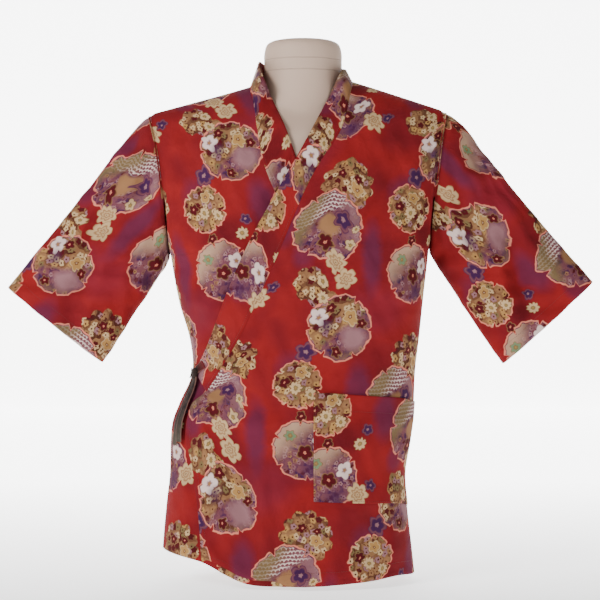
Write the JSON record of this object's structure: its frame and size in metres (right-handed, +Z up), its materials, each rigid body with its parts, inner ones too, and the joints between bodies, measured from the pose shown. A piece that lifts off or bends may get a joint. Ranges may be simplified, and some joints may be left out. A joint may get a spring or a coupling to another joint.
{
  "type": "japanese chef jacket on a dress form",
  "caption": "Short-sleeved kimono-style kitchen jacket with a crossed neckband, waist ties and a patch pocket, worn by a limbless dress form that stands on its base.",
  "frame": {"origin": "middle of the dress form's flat base, on the surface it stands on", "axes": "+Z up, the jacket's front faces -Y, +X is the wearer's left"},
  "size_m": [0.8762, 0.2385, 0.805],
  "materials": {
    "print_cloth": "matte",
    "tie_tape": "matte",
    "form_cover": "matte"
  },
  "bodies": {
    "root": {"front_left": "print_cloth", "front_right": "print_cloth", "back_panel": "print_cloth", "neckband_left": "print_cloth", "neckband_right": "print_cloth", "sleeve_left": "print_cloth", "sleeve_right": "print_cloth", "pocket": "print_cloth", "tie_front": "tie_tape", "tie_side": "tie_tape", "tie_knot": "tie_tape", "dress_form": "form_cover"}
  },
  "joints": []
}
